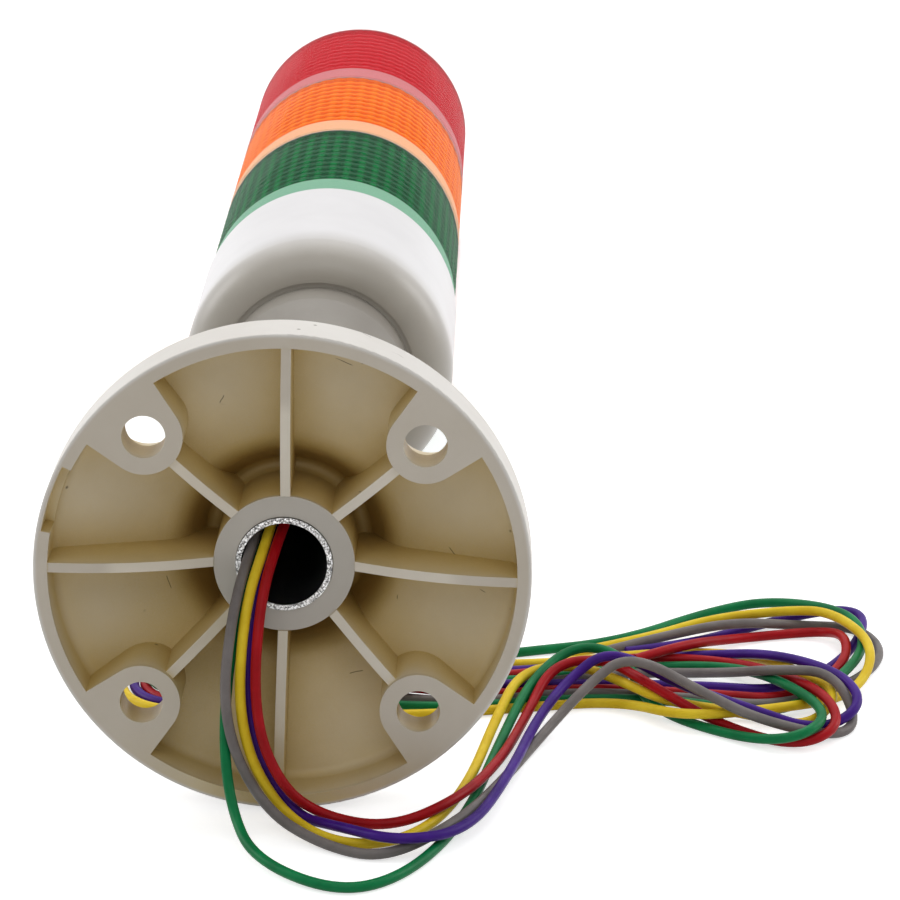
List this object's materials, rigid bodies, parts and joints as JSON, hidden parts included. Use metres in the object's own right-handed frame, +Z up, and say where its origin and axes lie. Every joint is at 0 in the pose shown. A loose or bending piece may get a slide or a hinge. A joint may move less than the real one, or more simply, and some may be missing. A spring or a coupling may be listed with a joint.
{
  "type": "stack light",
  "caption": "Tiered signal light in red, amber and green on a pole with a round ribbed flange, lying on its side with loose wire leads.",
  "frame": {"origin": "centre of the base of the rigid parts' box, on the surface that the light lies on", "axes": "+Y along the tower from the flange to the head, +Z up from the surface, +X to the right seen from the flange"},
  "size_m": [0.198, 0.5072, 0.111],
  "materials": {
    "flange": "satin moulded",
    "housing": "satin moulded",
    "pole_metal": "drawn tube with a sawn end",
    "fasteners": "zinc plated",
    "rubber_parts": "matte",
    "circuit_board": "solder mask",
    "terminal_plastic": "satin",
    "black_plastic": "satin",
    "white_plastic": "satin",
    "led_faces": "gloss",
    "lens_green": "clear tinted, gloss",
    "lens_amber": "clear tinted, gloss",
    "lens_red": "clear tinted, gloss",
    "wire_gray": "satin PVC",
    "wire_green": "satin PVC",
    "wire_yellow": "satin PVC",
    "wire_purple": "satin PVC",
    "wire_red": "satin PVC"
  },
  "bodies": {
    "root": {"base_flange": "flange", "body_housing": "housing", "driver_board": "circuit_board", "driver_chip": "black_plastic", "flange_set_screws": "fasteners", "led_boards_amber": "circuit_board", "led_boards_green": "circuit_board", "led_boards_red": "circuit_board", "led_carrier_amber": "white_plastic", "led_carrier_green": "white_plastic", "led_carrier_red": "white_plastic", "leds_amber": "led_faces", "leds_green": "led_faces", "leds_red": "led_faces", "lens_amber": "lens_amber", "lens_green": "lens_green", "lens_red": "lens_red", "pole": "pole_metal", "pole_grommet": "rubber_parts", "pole_nut": "fasteners", "pole_socket": "housing", "seal_amber": "rubber_parts", "seal_green": "rubber_parts", "seal_red": "rubber_parts", "socket_lock_screws": "fasteners", "sounder": "black_plastic", "terminal_block": "terminal_plastic", "tie_nuts": "fasteners", "tie_rods": "fasteners", "tier_ring_amber": "white_plastic", "tier_ring_green": "white_plastic", "tier_ring_red": "white_plastic", "wire_gray": "wire_gray", "wire_green": "wire_green", "wire_purple": "wire_purple", "wire_red": "wire_red", "wire_yellow": "wire_yellow"}
  },
  "joints": []
}
